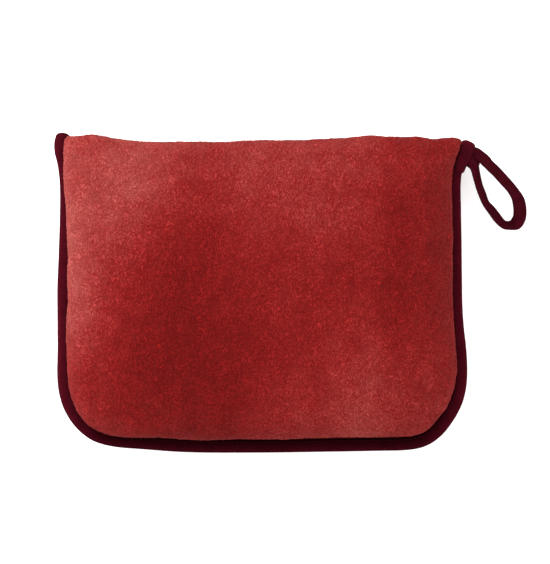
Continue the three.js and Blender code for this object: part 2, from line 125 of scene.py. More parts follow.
def pile(points):
    """Short curly pile: clumps parted by crooked furrows."""
    bent = points + 0.8 * noise_vector(points, 2.2, (11, 12, 13))
    furrows = np.minimum(np.abs(noise(bent, 2.3, 6)) * 3.2, 1)
    return 0.5 * furrows + 0.22 * noise(points, 1.3, 7) + 0.2 * noise(points, 4.5, 8)


# ---- Mesh helpers ----


def make(name, points, faces, material, uv=None, fields=None):
    """A smooth mesh object from points in millimetres and an array of faces with equally many corners."""
    mesh = bpy.data.meshes.new(name)
    faces = np.asarray(faces, np.int32)
    mesh.vertices.add(len(points))
    mesh.vertices.foreach_set("co", (np.asarray(points) * MM).astype(np.float32).ravel())
    mesh.loops.add(faces.size)
    mesh.loops.foreach_set("vertex_index", faces.ravel())
    mesh.polygons.add(len(faces))
    mesh.polygons.foreach_set("loop_start", np.arange(len(faces), dtype=np.int32) * faces.shape[1])
    mesh.polygons.foreach_set("use_smooth", np.ones(len(faces), bool))
    if uv is not None:
        layer = mesh.uv_layers.new(name="path")
        layer.data.foreach_set("uv", np.asarray(uv, np.float32)[faces.ravel()].ravel())
    for field, values in (fields or {}).items():
        made = mesh.attributes.new(field, "FLOAT", "POINT")
        made.data.foreach_set("value", np.asarray(values, np.float32))
    mesh.update(calc_edges=True)
    mesh.validate()
    mesh.materials.append(material)
    obj = bpy.data.objects.new(name, mesh)
    scene.collection.objects.link(obj)
    return obj


def unit(vectors):
    return vectors / np.linalg.norm(vectors, axis=-1, keepdims=True)


def travelled(line):
    """How far along the line each of its points lies."""
    return np.concatenate([[0], np.cumsum(np.linalg.norm(np.diff(line, axis=0), axis=1))])


def upward(count, way=1.0):
    return np.tile([0, 0, way], (count, 1))


def end_rounding(distance, radius, least):
    """How full a strip is at some distance from its round end."""
    return np.sqrt(np.clip(1 - (1 - np.minimum(1, distance / radius)) ** 2, least, 1))


def boxy_ring(count, half_u, half_v, power_u, power_v):
    """A closed ring between an ellipse (powers of 1) and a box (powers near 0)."""
    turn = np.linspace(0, 2 * math.pi, count, endpoint=False)
    cos, sin = np.cos(turn), np.sin(turn)
    u = np.sign(cos) * np.abs(cos) ** power_u * half_u
    v = np.sign(sin) * np.abs(sin) ** power_v * half_v
    return np.stack([u, v], 1)


def grid_faces(rows, columns, wrap=False):
    index = np.arange(rows * columns).reshape(rows, columns)
    right = np.roll(index, -1, 1) if wrap else index[:, 1:]
    left = index if wrap else index[:, :-1]
    return np.stack([left[:-1], right[:-1], right[1:], left[1:]], -1).reshape(-1, 4)


def grid_normals(grid):
    across = np.gradient(grid, axis=1)
    along = np.gradient(grid, axis=0)
    normal = np.cross(across, along)
    return normal / np.maximum(np.linalg.norm(normal, axis=-1, keepdims=True), 1e-9)


def spline(points, count):
    """Evenly spaced points on a smooth curve through the given ones."""
    p = np.asarray(points, float)
    p = np.concatenate([2 * p[:1] - p[1:2], p, 2 * p[-1:] - p[-2:-1]])
    t = np.linspace(0, 1, 24, endpoint=False)[:, None]
    parts = []
    for a, b, c, d in zip(p, p[1:], p[2:], p[3:]):
        parts.append(0.5 * (2 * b + (c - a) * t + (2 * a - 5 * b + 4 * c - d) * t**2
                            + (3 * b - a - 3 * c + d) * t**3))
    fine = np.concatenate(parts + [p[-2:-1]])
    far = travelled(fine)
    at = np.linspace(0, far[-1], count)
    return np.stack([np.interp(at, far, fine[:, k]) for k in range(fine.shape[1])], 1)


def sweep(stations, u, v, sections):
    """Places a closed section (pairs along u and v) at each station. Returns points, faces and map."""
    stations, u, v = (np.asarray(x, float) for x in (stations, u, v))
    sections = np.broadcast_to(sections, (len(stations),) + np.shape(sections)[-2:])
    points = stations[:, None] + sections[..., :1] * u[:, None] + sections[..., 1:] * v[:, None]
    far = travelled(stations)
    ring = np.linalg.norm(np.roll(sections[0], -1, 0) - sections[0], axis=1)
    round_it = np.concatenate([[0], np.cumsum(ring)[:-1]])
    uv = np.stack(np.broadcast_arrays(far[:, None], round_it[None, :]), -1)
    rows, columns = points.shape[:2]
    return points.reshape(-1, 3), grid_faces(rows, columns, True), uv.reshape(-1, 2)


def capped(points, faces, uv, columns):
    """Closes both ends of a swept ring, of an even count of columns, with quads onto a middle point."""
    count = len(points)
    first, last = np.arange(columns), np.arange(count - columns, count)
    middle = np.stack([points[first].mean(0), points[last].mean(0)])
    extra = []
    for a in range(0, columns, 2):
        b, c = (a + 1) % columns, (a + 2) % columns
        extra.append([count, first[c], first[b], first[a]])
        extra.append([count + 1, last[a], last[b], last[c]])
    uv = np.concatenate([uv, uv[[0, -1]]])
    return np.concatenate([points, middle]), np.concatenate([faces, extra]), uv


def merged(parts):
    """Joins (points, faces, uv) parts into one."""
    points, faces, uv, start = [], [], [], 0
    for p, f, t in parts:
        points.append(p)
        faces.append(np.asarray(f) + start)
        uv.append(t)
        start += len(p)
    return np.concatenate(points), np.concatenate(faces), np.concatenate(uv)


def stitches(line, up, length, gap, radius):
    """Sewn stitches as small half-sunk capsules along a line."""
    far = travelled(line)
    parts = []
    steps = np.linspace(-1, 1, 7)
    turns = np.arange(6) * math.pi / 3
    for s in np.arange(gap, far[-1] - length, length + gap):
        ends = [np.array([np.interp(x, far, line[:, k]) for k in range(3)]) for x in (s, s + length)]
        lift = np.array([np.interp(s, far, up[:, k]) for k in range(3)])
        along = ends[1] - ends[0]
        side = np.cross(along, lift)
        side /= max(np.linalg.norm(side), 1e-9)
        lift = np.cross(side, along)
        lift /= max(np.linalg.norm(lift), 1e-9)
        rings = []
        for t in steps:
            fat = radius * math.sqrt(max(0.04, 1 - t**6))
            centre = ends[0] + along * (t + 1) / 2 - lift * radius * 1.2 * t**4
            spokes = [math.cos(a) * side + 0.7 * math.sin(a) * lift for a in turns]
            rings.append([centre + fat * spoke for spoke in spokes])
        points = np.array(rings).reshape(-1, 3)
        uv = np.stack([np.repeat(steps, len(turns)), np.tile(turns, len(steps))], 1)
        parts.append((points, grid_faces(len(steps), len(turns), True), uv))
    return merged(parts)


def make_stitches(name, runs):
    points, faces, uv = merged(runs)
    return make(name, points, faces, thread, uv)


# ---- Materials ----


class Nodes:
    """Builds one Principled material."""

    def __init__(self, name, rough, **values):
        self.material = bpy.data.materials.new(name)
        self.material.use_nodes = True
        self.tree = self.material.node_tree
        self.shader = self.tree.nodes["Principled BSDF"]
        self.shader.inputs["Roughness"].default_value = rough
        for key, value in values.items():
            self.shader.inputs[key.replace("_", " ")].default_value = value

    def add(self, kind, inputs=None, **settings):
        node = self.tree.nodes.new("ShaderNode" + kind)
        for key, value in settings.items():
            setattr(node, key, value)
        for key, value in (inputs or {}).items():
            if isinstance(value, bpy.types.NodeSocket):
                self.tree.links.new(value, node.inputs[key])
            else:
                node.inputs[key].default_value = value
        return node

    def math(self, operation, a, b=0.0, clamp=False):
        return self.add("Math", {0: a, 1: b}, operation=operation, use_clamp=clamp).outputs[0]

    def spread(self, value, low, high, to_low, to_high):
        return self.add("MapRange", {0: value, 1: low, 2: high, 3: to_low, 4: to_high}).outputs[0]

    def position(self):
        return self.add("TexCoord").outputs["Object"]

    def wave(self, value, pitch):
        return self.math("SINE", self.math("MULTIPLY", value, 2 * math.pi / pitch))

    def grey(self, value):
        return self.add("CombineColor", {0: value, 1: value, 2: value}).outputs[0]

    def noise(self, size, detail=2.0, at=None, rough=0.5):
        """Noise whose features are about size millimetres wide."""
        node = self.add("TexNoise", {"Vector": at or self.position(), "Scale": 1 / (size * MM),
                                     "Detail": detail, "Roughness": rough})
        return node.outputs["Fac"]

    def mix(self, share, a, b, kind="MIX"):
        node = self.add("Mix", {0: share}, data_type="RGBA", blend_type=kind)
        for slot, value in ((6, a), (7, b)):
            if isinstance(value, bpy.types.NodeSocket):
                self.tree.links.new(value, node.inputs[slot])
            else:
                node.inputs[slot].default_value = (*value, 1)
        return node.outputs[2]

    def ramp(self, value, stops):
        node = self.add("ValToRGB", {0: value})
        band = node.color_ramp
        while len(band.elements) < len(stops):
            band.elements.new(0.5)
        for element, (place, colour) in zip(band.elements, stops):
            element.position = place
            element.color = (*colour, 1)
        return node.outputs[0]

    def bump(self, height, distance, strength=1.0, after=None):
        inputs = {"Height": height, "Distance": distance * MM, "Strength": strength}
        if after is not None:
            inputs["Normal"] = after
        return self.add("Bump", inputs).outputs[0]

    def out(self, colour=None, rough=None, normal=None):
        for key, value in (("Base Color", colour), ("Roughness", rough), ("Normal", normal)):
            if value is not None:
                self.tree.links.new(value, self.shader.inputs[key])
        return self.material


def plush_material(name, stops, sheen):
    """Short curly pile. Its colour holds painted light and shade: the field says how far the pile is brushed
    and sloped towards the light.
    """
    n = Nodes(name, 0.95, Sheen_Weight=sheen, Sheen_Roughness=0.3, Sheen_Tint=(1.0, 0.42, 0.38, 1),
              Specular_IOR_Level=0.06)
    # painted light and shade of the pile, read from the mesh's field
    painted_light_and_tone = n.add("Attribute", attribute_name="painted_light_and_tone").outputs["Fac"]
    shade = n.math("ADD", painted_light_and_tone, n.spread(n.noise(13, 3, rough=0.6), 0.3, 0.7, -0.05, 0.05))
    shade = n.math("ADD", shade, n.spread(n.noise(44, 2), 0.3, 0.7, -0.03, 0.03))
    # strands: two layers of drawn-out noise that bend with a slow drift
    drift_size, drift_by = 16 * MM, 12 * MM
    drift = n.add("TexNoise", {"Vector": n.position(), "Scale": 1 / drift_size, "Detail": 1.0})
    drift = drift.outputs["Color"]
    drift = n.add("VectorMath", {0: drift, 1: (drift_by,) * 3}, operation="MULTIPLY").outputs[0]
    bent = n.add("VectorMath", {0: n.position(), 1: drift}, operation="ADD").outputs[0]
    layers = []
    for turn in (0.75, 2.3):
        drawn_out = {"Vector": bent, "Rotation": (0.3, 0.2, turn), "Scale": (1.0, 0.5, 0.7)}
        strand = n.noise(1.1, 1, at=n.add("Mapping", drawn_out).outputs[0])
        layers.append(n.math("ABSOLUTE", n.math("SUBTRACT", strand, 0.5)))
    curl = n.spread(n.math("MINIMUM", layers[0], layers[1]), 0.0, 0.085, 0.0, 1.0)
    fibre = n.noise(0.6, 2)
    height = n.math("ADD", n.math("MULTIPLY", curl, 0.75), n.math("MULTIPLY", fibre, 0.5))
    # painted light on the strand tips and painted shade in the furrows, as a shift along the colour ramp
    shade = n.math("ADD", shade, n.spread(height, 0.2, 0.95, -0.10, 0.10), clamp=True)
    body = n.ramp(shade, stops)
    # painted shade: the furrows between the strands are darker than their tips, and the tips get painted light
    colour = n.mix(1.0, body, n.grey(n.spread(height, 0.1, 0.95, 0.70, 1.13)), "MULTIPLY")
    normal = n.bump(height, 0.55, 0.9)
    return n.out(colour, n.spread(fibre, 0.3, 0.7, 0.85, 1.0), normal)


def tape_material(name, dark, light, shaded=False):
    """Ribbed grosgrain. Its map runs along and across the tape, in millimetres."""
    rib_pitch, yarn_pitch = 0.9, 0.5
    n = Nodes(name, 0.85, Specular_IOR_Level=0.0)
    path = n.add("SeparateXYZ", {0: n.add("UVMap", uv_map="path").outputs[0]}).outputs
    rib, yarn = n.wave(path[0], rib_pitch), n.wave(path[1], yarn_pitch)
    weave = n.math("ADD", n.math("MULTIPLY", rib, 0.75), n.math("MULTIPLY", yarn, 0.25))
    wear = n.noise(7, 3)
    fluff = n.noise(0.5, 2)
    shade = n.math("ADD", n.spread(wear, 0.3, 0.7, 0.2, 0.8), n.math("MULTIPLY", weave, 0.16), clamp=True)
    colour = n.mix(shade, dark, light)
    if shaded:
        cover = n.add("Attribute", attribute_name="shade").outputs["Fac"]
        colour = n.mix(1.0, colour, n.grey(cover), "MULTIPLY")
    normal = n.bump(weave, 0.16, 0.9)
    normal = n.bump(fluff, 0.10, 0.6, normal)
    return n.out(colour, n.spread(wear, 0.3, 0.7, 0.78, 0.94), normal)


def weave_material(name, dark, light, pitch, rough, sheen=0.2):
    """Plain weave from object coordinates."""
    n = Nodes(name, rough, Sheen_Weight=sheen, Sheen_Roughness=0.4)
    x, y, z = (n.wave(part, pitch * MM) for part in n.add("SeparateXYZ", {0: n.position()}).outputs)
    weave = n.math("ADD", n.math("MULTIPLY", x, y), n.math("MULTIPLY", x, z))
    grime = n.noise(5, 3)
    shade = n.math("ADD", n.spread(grime, 0.3, 0.7, 0.2, 0.8), n.math("MULTIPLY", weave, 0.15), clamp=True)
    colour = n.mix(shade, dark, light)
    return n.out(colour, n.spread(grime, 0.3, 0.7, rough - 0.08, rough + 0.08), n.bump(weave, 0.12, 0.7))


def metal_material():
    n = Nodes("metal", 0.34, Metallic=1.0)
    wear = n.noise(1.6, 4, rough=0.65)
    brushed = n.add("Mapping", {"Vector": n.position(), "Scale": (1, 9, 9)}).outputs[0]
    lines = n.noise(2.4, 2, at=brushed)
    colour = n.mix(n.spread(wear, 0.4, 0.65, 0, 1), (0.52, 0.51, 0.49), (0.30, 0.29, 0.28))
    return n.out(colour, n.spread(wear, 0.3, 0.7, 0.26, 0.48), n.bump(lines, 0.03, 0.6))


def nylon_material():
    n = Nodes("zip_nylon", 0.4, Coat_Weight=0.15, Coat_Roughness=0.3)
    tint = n.noise(2.5, 2)
    colour = n.mix(n.spread(tint, 0.35, 0.65, 0, 1), (0.055, 0.006, 0.010), (0.10, 0.012, 0.018))
    return n.out(colour, n.spread(tint, 0.3, 0.7, 0.32, 0.5), n.bump(n.noise(0.4, 2), 0.03, 0.5))


def thread_material():
    n = Nodes("thread", 0.8, Specular_IOR_Level=0.06)
    path = n.add("SeparateXYZ", {0: n.add("UVMap", uv_map="path").outputs[0]}).outputs
    twist = n.math("ADD", n.math("MULTIPLY", path[0], 9.0), n.math("MULTIPLY", path[1], 2.0))
    ply = n.math("SINE", twist)
    colour = n.mix(n.spread(ply, -1, 1, 0, 1), (0.016, 0.0008, 0.0022), (0.042, 0.0018, 0.0050))
    return n.out(colour, None, n.bump(ply, 0.05, 0.8))


def floor_material():
    n = Nodes("studio_floor", 0.9, Specular_IOR_Level=0.1, Emission_Strength=0.35,
              Emission_Color=(1, 1, 1, 1))
    colour = n.mix(n.spread(n.noise(90, 3), 0.3, 0.7, 0, 1), (0.90, 0.90, 0.90), (0.93, 0.93, 0.93))
    return n.out(colour, None, n.bump(n.noise(1.5, 2), 0.02, 0.3))


# Plush colours from painted shade to painted light, from where the pile is brushed away from the light to
# where it is brushed towards it
PLUSH_SHADE_TO_LIGHT_COLOURS = [
    (0.0, (0.110, 0.0032, 0.0032)), (0.1, (0.144, 0.0047, 0.0046)), (0.19, (0.175, 0.0068, 0.0064)),
    (0.26, (0.198, 0.0098, 0.0092)), (0.34, (0.226, 0.0158, 0.0144)), (0.51, (0.283, 0.0410, 0.0360)),
    (0.63, (0.324, 0.0640, 0.0555)), (1.0, (0.450, 0.1150, 0.1000)),
]
FLEECE_COLOURS = [(place, (r * 0.94, g * 1.1, b * 1.05)) for place, (r, g, b) in PLUSH_SHADE_TO_LIGHT_COLOURS]
PILE_SHEEN = 0.08
plush = plush_material("plush", PLUSH_SHADE_TO_LIGHT_COLOURS, PILE_SHEEN)
fleece = plush_material("blanket_fleece", FLEECE_COLOURS, PILE_SHEEN)
tape = tape_material("loop_tape", (0.028, 0.0022, 0.0046), (0.052, 0.0032, 0.0078))
root_tape = tape_material("root_tape", (0.042, 0.0028, 0.0056), (0.064, 0.0042, 0.0092))
edge_tape = tape_material("binding_tape", (0.036, 0.0022, 0.0050), (0.062, 0.0036, 0.0086), shaded=True)
zip_cloth = weave_material("zip_cloth", (0.045, 0.004, 0.007), (0.085, 0.008, 0.012), 0.6, 0.8)
satin = weave_material("label_satin", (0.72, 0.69, 0.63), (0.82, 0.80, 0.75), 0.35, 0.5, 0.5)
metal = metal_material()
nylon = nylon_material()
thread = thread_material()

# ---- The pouch's outline ----

# Where the plush stands out furthest, seen from above: left side going down, bottom, right side going up
PLUSH_LEFT = [(-139.4, 99), (-139.6, 92), (-139.9, 80), (-138.2, 61), (-136, 35), (-136.1, 16), (-136.8, -10),
              (-137, -35), (-136.8, -55.4), (-135.2, -65.7), (-132.7, -74.7), (-128.6, -82.7)]
PLUSH_BOTTOM = [(-128.6, -82.7), (-121.8, -90.4), (-109.5, -97), (-91.2, -100), (-62.1, -101.3), (-20, -102),
                (25, -101), (65, -99.8), (91, -99.1), (107.2, -98), (116.9, -93), (124.7, -84.9)]
PLUSH_RIGHT = [(124.7, -84.9), (131.7, -76.1), (136.2, -63.6), (137.7, -47), (135.9, -27), (134.3, -4),
               (135, 25), (134.9, 55), (134, 75), (134.9, 86.9), (136.2, 93.8), (137.1, 99)]
# Top edge of the front as it shows from above
PLUSH_TOP = [(-141, 104), (-139.6, 109.1), (-137.6, 111.4), (-133, 111.7), (-121, 112.2), (-113, 110.7),
             (-106, 109.6), (-91, 109.2), (-75, 108.5), (-45, 108.3), (-20, 108.4), (20, 109.3), (50, 110.7),
             (70, 111.7), (92, 112), (100, 111.9), (110, 112), (119, 110.2), (127, 110.4), (133, 110.6),
             (136.5, 109.1), (139.5, 104)]
PLUSH_TOP_END = 141.6
# At the right top corner the plush leans out: how far for each millimetre up, from which x, over what width
CORNER_LEAN, LEAN_FROM, LEAN_OVER = 0.38, 118.0, 18.0
MOUTH_END = 139.4  # where the mouth is down to the height of the rim
CORNER_ROUNDING = 26.0  # how far the rounding of the top corners reaches
CORNER_PASSES = 110
CORNER_X = 139.0  # where the top corners are, right and left
HALF_COUNT = 215  # grid steps from the middle of a face to its rim
SIDE_COUNT = 2 * HALF_COUNT + 1
SKIRT_ROWS = 26
FLANGE_ROWS = 6
LIP_ROWS = 72
END_COLUMNS = 9  # at each end of a lip, where it curls under


def fold_half(x):
    """Half the mouth's height at x."""
    end = RIM_HALF - 0.2
    return end + (FOLD_HALF - end) * (1 - np.minimum(1, np.abs(x / MOUTH_END)) ** 9) ** 0.7


def rim_sides():
    """The rim as four lines: x, y and height above or below the seam."""
    sides = {}
    for key, outline in (("left", PLUSH_LEFT[::-1]), ("bottom", PLUSH_BOTTOM), ("right", PLUSH_RIGHT)):
        line = spline(outline, SIDE_COUNT)
        sides[key] = np.concatenate([line, np.full((SIDE_COUNT, 1), RIM_HALF)], 1)
    x = np.linspace(sides["left"][-1, 0], sides["right"][-1, 0], SIDE_COUNT)
    sides["top"] = np.stack([x, np.full_like(x, FOLD_Y), fold_half(x)], 1)
    return sides


def ring_share(count):
    """Shares of the way out that lie evenly over the crowned surface."""
    share = 1 - (1 - np.linspace(0, 1, 4001)) ** 2
    across, drop = 118.0, 26.0
    height = drop * np.sqrt(np.maximum(0, 1 - share**3.4))
    far = np.concatenate([[0], np.cumsum(np.hypot(np.diff(share) * across, np.diff(height)))])
    return np.interp(np.linspace(0, far[-1], count + 1), far, share)


def cap_grid(side, squareness, flat):
    """The crowned face, as rings drawn out from the middle to the rim."""
    sides = rim_sides()
    steps = np.arange(-HALF_COUNT, HALF_COUNT + 1)
    j, i = np.meshgrid(steps, steps, indexing="ij")
    ring = np.maximum(np.abs(i), np.abs(j))
    safe = np.maximum(ring, 1)  # so that the middle isn't divided by zero
    rim = np.zeros(i.shape + (3,))
    places = np.linspace(-1, 1, SIDE_COUNT)
    for key, on_side, along in (("top", j == ring, i / safe), ("bottom", j == -ring, i / safe),
                                ("left", i == -ring, j / safe), ("right", i == ring, j / safe)):
        for k in range(3):
            rim[..., k] = np.where(on_side, np.interp(along, places, sides[key][:, k]), rim[..., k])
    share = ring_share(HALF_COUNT)[ring]
    edge = rim[..., 2]
    open_side = np.clip((edge - RIM_HALF) / (FOLD_HALF - RIM_HALF), 0, 1)
    out = np.maximum(0, (share - flat) / (1 - flat))
    fall = np.maximum(0, 1 - out**squareness) ** (1 / (2 - open_side))
    height = edge + (CROWN[side] - edge) * fall
    grid = np.stack([rim[..., 0] * share, rim[..., 1] * share, height], -1)
    # the mitres of both top corners are rounded off
    near = np.hypot(np.abs(grid[..., 0]) - CORNER_X, grid[..., 1] - FOLD_Y)[1:-1, 1:-1, None]
    weight = np.exp(-((near / CORNER_ROUNDING) ** 2))
    for _ in range(CORNER_PASSES):
        mean = (grid[:-2, 1:-1] + grid[2:, 1:-1] + grid[1:-1, :-2] + grid[1:-1, 2:]) / 4
        grid[1:-1, 1:-1] += weight * (mean - grid[1:-1, 1:-1])
    return grid


def skirt_grid():
    """The plush curling back under itself to the seam, along the left, bottom and right sides."""
    sides = rim_sides()
    line = np.concatenate([sides["left"][::-1], sides["bottom"][1:], sides["right"][1:]])
    tangent = np.gradient(line[:, :2], axis=0)
    normal = unit(np.stack([tangent[:, 1], -tangent[:, 0]], 1))
    turn = np.linspace(0, math.pi / 2, SKIRT_ROWS)[:, None]
    back, low, flange_drop = 6.5, 2.6, 1.2
    away = back * (np.cos(turn) - 1) * np.ones(len(line))
    height = RIM_HALF - (RIM_HALF - low) * np.sin(turn)
    # its flange, between the two sides of the binding, which stands further out along the bottom
    into = 1.0 + 3.0 * np.clip(-1.2 * normal[:, 1], 0, 1)
    share = np.linspace(0, 1, FLANGE_ROWS + 1)[1:, None]
    away = np.concatenate([away, -back + (back + into) * share])
    height = np.concatenate([height, low - flange_drop * np.sin(share * math.pi / 2)])
    plan = line[None, :, :2] + normal[None] * away[..., None]
    return np.concatenate([plan, np.broadcast_to(height, plan.shape[:2])[..., None]], -1)


def lip_grid(x):
    """The plush rolled over from the fold line to the slot and on inward, curling under at both ends."""
    end_radius, turned_in, turned_up, curl_in, curl_height = 5.5, 3.2, 1.6, 3.0, 1.2
    top = spline(PLUSH_TOP, 900)
    from_end = np.clip((PLUSH_TOP_END - np.abs(x)) / end_radius, 0, 1)
    bulge = (np.interp(x, top[:, 0], top[:, 1]) - FOLD_Y) * np.sqrt(1 - (1 - from_end) ** 2.5)
    fold = fold_half(x)
    share = np.linspace(0, 1, LIP_ROWS)[:, None]
    y = FOLD_Y + bulge * np.sin(0.86 * math.pi * share)
    z = fold + (SLOT_HALF - fold) * (0.3 * share + 0.7 * share**1.7)
    lean = CORNER_LEAN * np.clip((x - LEAN_FROM) / LEAN_OVER, 0, 1) ** 2
    wide = x + lean * (y - FOLD_Y)
    inside = np.linspace(0, 1, 6)[1:, None]
    in_y = y[-1] - turned_in * inside
    in_z = z[-1] + turned_up * np.sin(inside * math.pi / 2)
    wide_in = np.broadcast_to(wide[-1], in_y.shape)
    grid = np.concatenate([np.stack([wide, y, z], -1), np.stack([wide_in, in_y, in_z], -1)])
    turn = np.linspace(0, math.pi / 2, END_COLUMNS + 1)[None, 1:]
    ends = []
    for column, inward in ((0, 1), (-1, -1)):
        edge_x, edge_y, edge_z = np.moveaxis(grid[:, column, None], -1, 0)
        ends.append(np.stack([edge_x + inward * curl_in * (1 - np.cos(turn)), edge_y + 0 * turn,
                              edge_z - (edge_z - curl_height) * np.sin(turn)], -1))
    return np.concatenate([ends[0][:, ::-1], grid, ends[1]], 1)


def painted_light_and_tone_of(points, side):
    """Painted light and shade, as a share from dark to light: on the front, lighter where the pile is brushed
    and sloped towards the light and darker where it faces away; on the back, a plain tone with soft patches.
    """
    x, y = points[:, 0], points[:, 1]

    def step(value, width):
        return 1 / (1 + np.exp(-np.clip(value / width, -30, 30)))

    def patch(cx, cy, rx, ry):
        return np.exp(-(((x - cx) / rx) ** 2) - ((y - cy) / ry) ** 2)

    if side < 0:
        return 0.2 + 0.06 * patch(40, 20, 60, 50) - 0.06 * patch(-60, -30, 50, 40)
    # painted light at the left and towards the top, painted shade at the right, then lighter and darker
    # patches of painted light and shade
    value = 0.30 + 0.35 * step(-120.5 - 0.3 * y - x, 11.5) * step(y + 30, 11.5)
    value += 0.04 * np.clip((y + 20) / 80, 0, 1.5) - 0.16 * step(x - 82.5, 6)
    value += 0.17 * patch(-92, 75, 30, 40) + 0.15 * patch(103, -83, 60, 60)
    value -= 0.30 * patch(-54, -49, 70, 80) + 0.13 * patch(-53, 45, 40, 40) + 0.11 * patch(56, 6, 50, 60)
    return value


def rim_places():
    """Grid places of the cap's rim beside the skirt: left side down, bottom, right side up."""
    down = [(row, 0) for row in range(SIDE_COUNT - 1, -1, -1)]
    along = [(0, column) for column in range(1, SIDE_COUNT)]
    up = [(row, SIDE_COUNT - 1) for row in range(1, SIDE_COUNT)]
    rows, columns = np.array(down + along + up).T
    return rows, columns


def joined_normals(cap, skirt, lip):
    """Outward normals of three grids, equal where two of them meet."""
    of_cap, of_skirt, of_lip = (grid_normals(grid) for grid in (cap, skirt, lip))
    if of_skirt[0, HALF_COUNT, 0] > 0:
        of_skirt = -of_skirt
    if of_lip[0, HALF_COUNT, 2] < 0:
        of_lip = -of_lip
    rim = rim_places()
    shared = unit(of_cap[rim] + of_skirt[0])
    of_cap[rim] = shared
    of_skirt[0] = shared
    fold = unit(of_cap[-1] + of_lip[0, END_COLUMNS:-END_COLUMNS])
    of_cap[-1] = fold
    of_lip[0, END_COLUMNS:-END_COLUMNS] = fold
    return of_cap, of_skirt, of_lip


def with_pile(grid, normals, side, calm):
    """Adds lumps and pile, with a share for each row, and puts the grid above or below the seam."""
    mirror, seam = [1, 1, side], [0, 0, SEAM]
    place = grid.reshape(-1, 3) * mirror + seam
    swell = (lumps(place) + pile(place)).reshape(grid.shape[:2]) * calm[:, None]
    moved = (grid + normals * swell[..., None]) * mirror + seam
    moved[..., 2] = np.maximum(moved[..., 2], LOWEST)
    return moved


def turned(faces, side):
    """The back is a mirror image, so its faces are turned over."""
    return faces if side > 0 else faces[:, ::-1]


def make_panel(side, name, cap, skirt):
    index = np.arange(SIDE_COUNT**2).reshape(SIDE_COUNT, SIDE_COUNT)
    skirt_index = np.arange(skirt[1:, :, 0].size).reshape(-1, skirt.shape[1]) + index.size
    rows = np.concatenate([index[rim_places()][None], skirt_index])
    skirt_faces = np.stack([rows[:-1, :-1], rows[1:, :-1], rows[1:, 1:], rows[:-1, 1:]], -1).reshape(-1, 4)
    points = np.concatenate([cap.reshape(-1, 3), skirt[1:].reshape(-1, 3)])
    faces = turned(np.concatenate([grid_faces(SIDE_COUNT, SIDE_COUNT), skirt_faces]), side)
    # the colour's painted light and shade goes on the mesh as a field
    panel = make(f"pouch_{name}_plush", points, faces, plush, fields={"painted_light_and_tone": painted_light_and_tone_of(points, side)})
    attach(panel, "pouch")
    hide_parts(f"pouch_{name}_panel")


def make_lips(side, name, lip, x):
    """The rolled edge in three parts, with x the place of each column."""
    # tucked 4 mm inside the panel's edge, and less and less towards both ends
    column = np.arange(lip.shape[1])
    deep = np.clip(np.minimum(column, column[::-1]) / 16 - 0.75, 0.02, 1)[:, None]
    tuck = np.stack([lip[0] + deep * [0, -4, -2.2 * side], lip[0] + deep * [0, -1.2, -1.2 * side]])
    lip = np.concatenate([tuck, lip])
    masks = {"left": x <= -CORNER_IN, "middle": np.abs(x) <= CORNER_IN, "right": x >= CORNER_IN}
    for part, mask in masks.items():
        columns = np.flatnonzero(mask)
        if part == "left":
            columns = np.append(columns, columns[-1] + 1)
        if part == "right":
            columns = np.insert(columns, 0, columns[0] - 1)
        strip = lip[:, columns].reshape(-1, 3)
        faces = turned(grid_faces(len(lip), len(columns)), side)
        # the colour's painted light and shade goes on the mesh as a field
        obj = make(f"lip_{name}_{part}", strip, faces, plush, fields={"painted_light_and_tone": painted_light_and_tone_of(strip, side)})
        ride_lip(obj, part, name)
        if part == "middle":
            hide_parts(f"mouth_lip_{name}")


def make_pouch_side(side, name, squareness, flat):
    """One face of the pouch with its lip."""
    cap = cap_grid(side, squareness, flat)
    skirt = skirt_grid()
    x = cap[-1, :, 0]
    lip = lip_grid(x)
    cap_normals, skirt_normals, lip_normals = joined_normals(cap, skirt, lip)
    skirt_calm = np.interp(np.arange(len(skirt)), [0, len(skirt) - FLANGE_ROWS], [1, 0.1])
    lip_calm = np.ones(len(lip))
    lip_calm[-9:] = np.linspace(1, 0.2, 9)
    cap = with_pile(cap, cap_normals, side, np.ones(len(cap)))
    skirt = with_pile(skirt, skirt_normals, side, skirt_calm)
    lip = with_pile(lip, lip_normals, side, lip_calm)
    make_panel(side, name, cap, skirt)
    make_lips(side, name, lip, np.pad(x, END_COLUMNS, "edge"))


def ride_lip(obj, part, name):
    """The middle of a lip turns with it, and its ends stay sewn to the pouch."""
    if part == "middle":
        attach(obj, f"lip_{name}")
        return
    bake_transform(obj)


make_pouch_side(1, "front", 3.3, 0.0)
make_pouch_side(-1, "back", 2.4, 0.45)

# ---- Binding ----

# Outer edge of the binding, from the left top corner down, along the bottom and up to the right one
BINDING_LINE = [(-144, 116.4), (-145.2, 111.3), (-145.9, 105.5), (-145.9, 100.1), (-144.7, 93.5), (-143.5, 85),
                (-142.9, 75), (-142.9, 61), (-143.3, 45), (-144, 25), (-144.8, 5), (-144.7, -18),
                (-144.6, -38), (-144.9, -55), (-144.1, -66), (-142.1, -75), (-138.9, -83), (-133.9, -90.8),
                (-127, -98), (-117.8, -103.8), (-104.1, -107.3), (-84, -109), (-50, -111.2), (0, -111.4),
                (45, -110.8), (80, -110.2), (104.1, -109.5), (117.5, -106.3), (127.6, -99.3), (134.9, -90.4),
                (140.3, -81.3), (143.8, -72.2), (145.7, -61.1), (145.9, -48), (145, -35), (143.5, -22),
                (142.5, -6), (142.2, 15), (141.9, 40), (141.5, 62), (141.3, 78), (142.4, 88),
                (145.4, 95.5), (148.6, 101.5)]


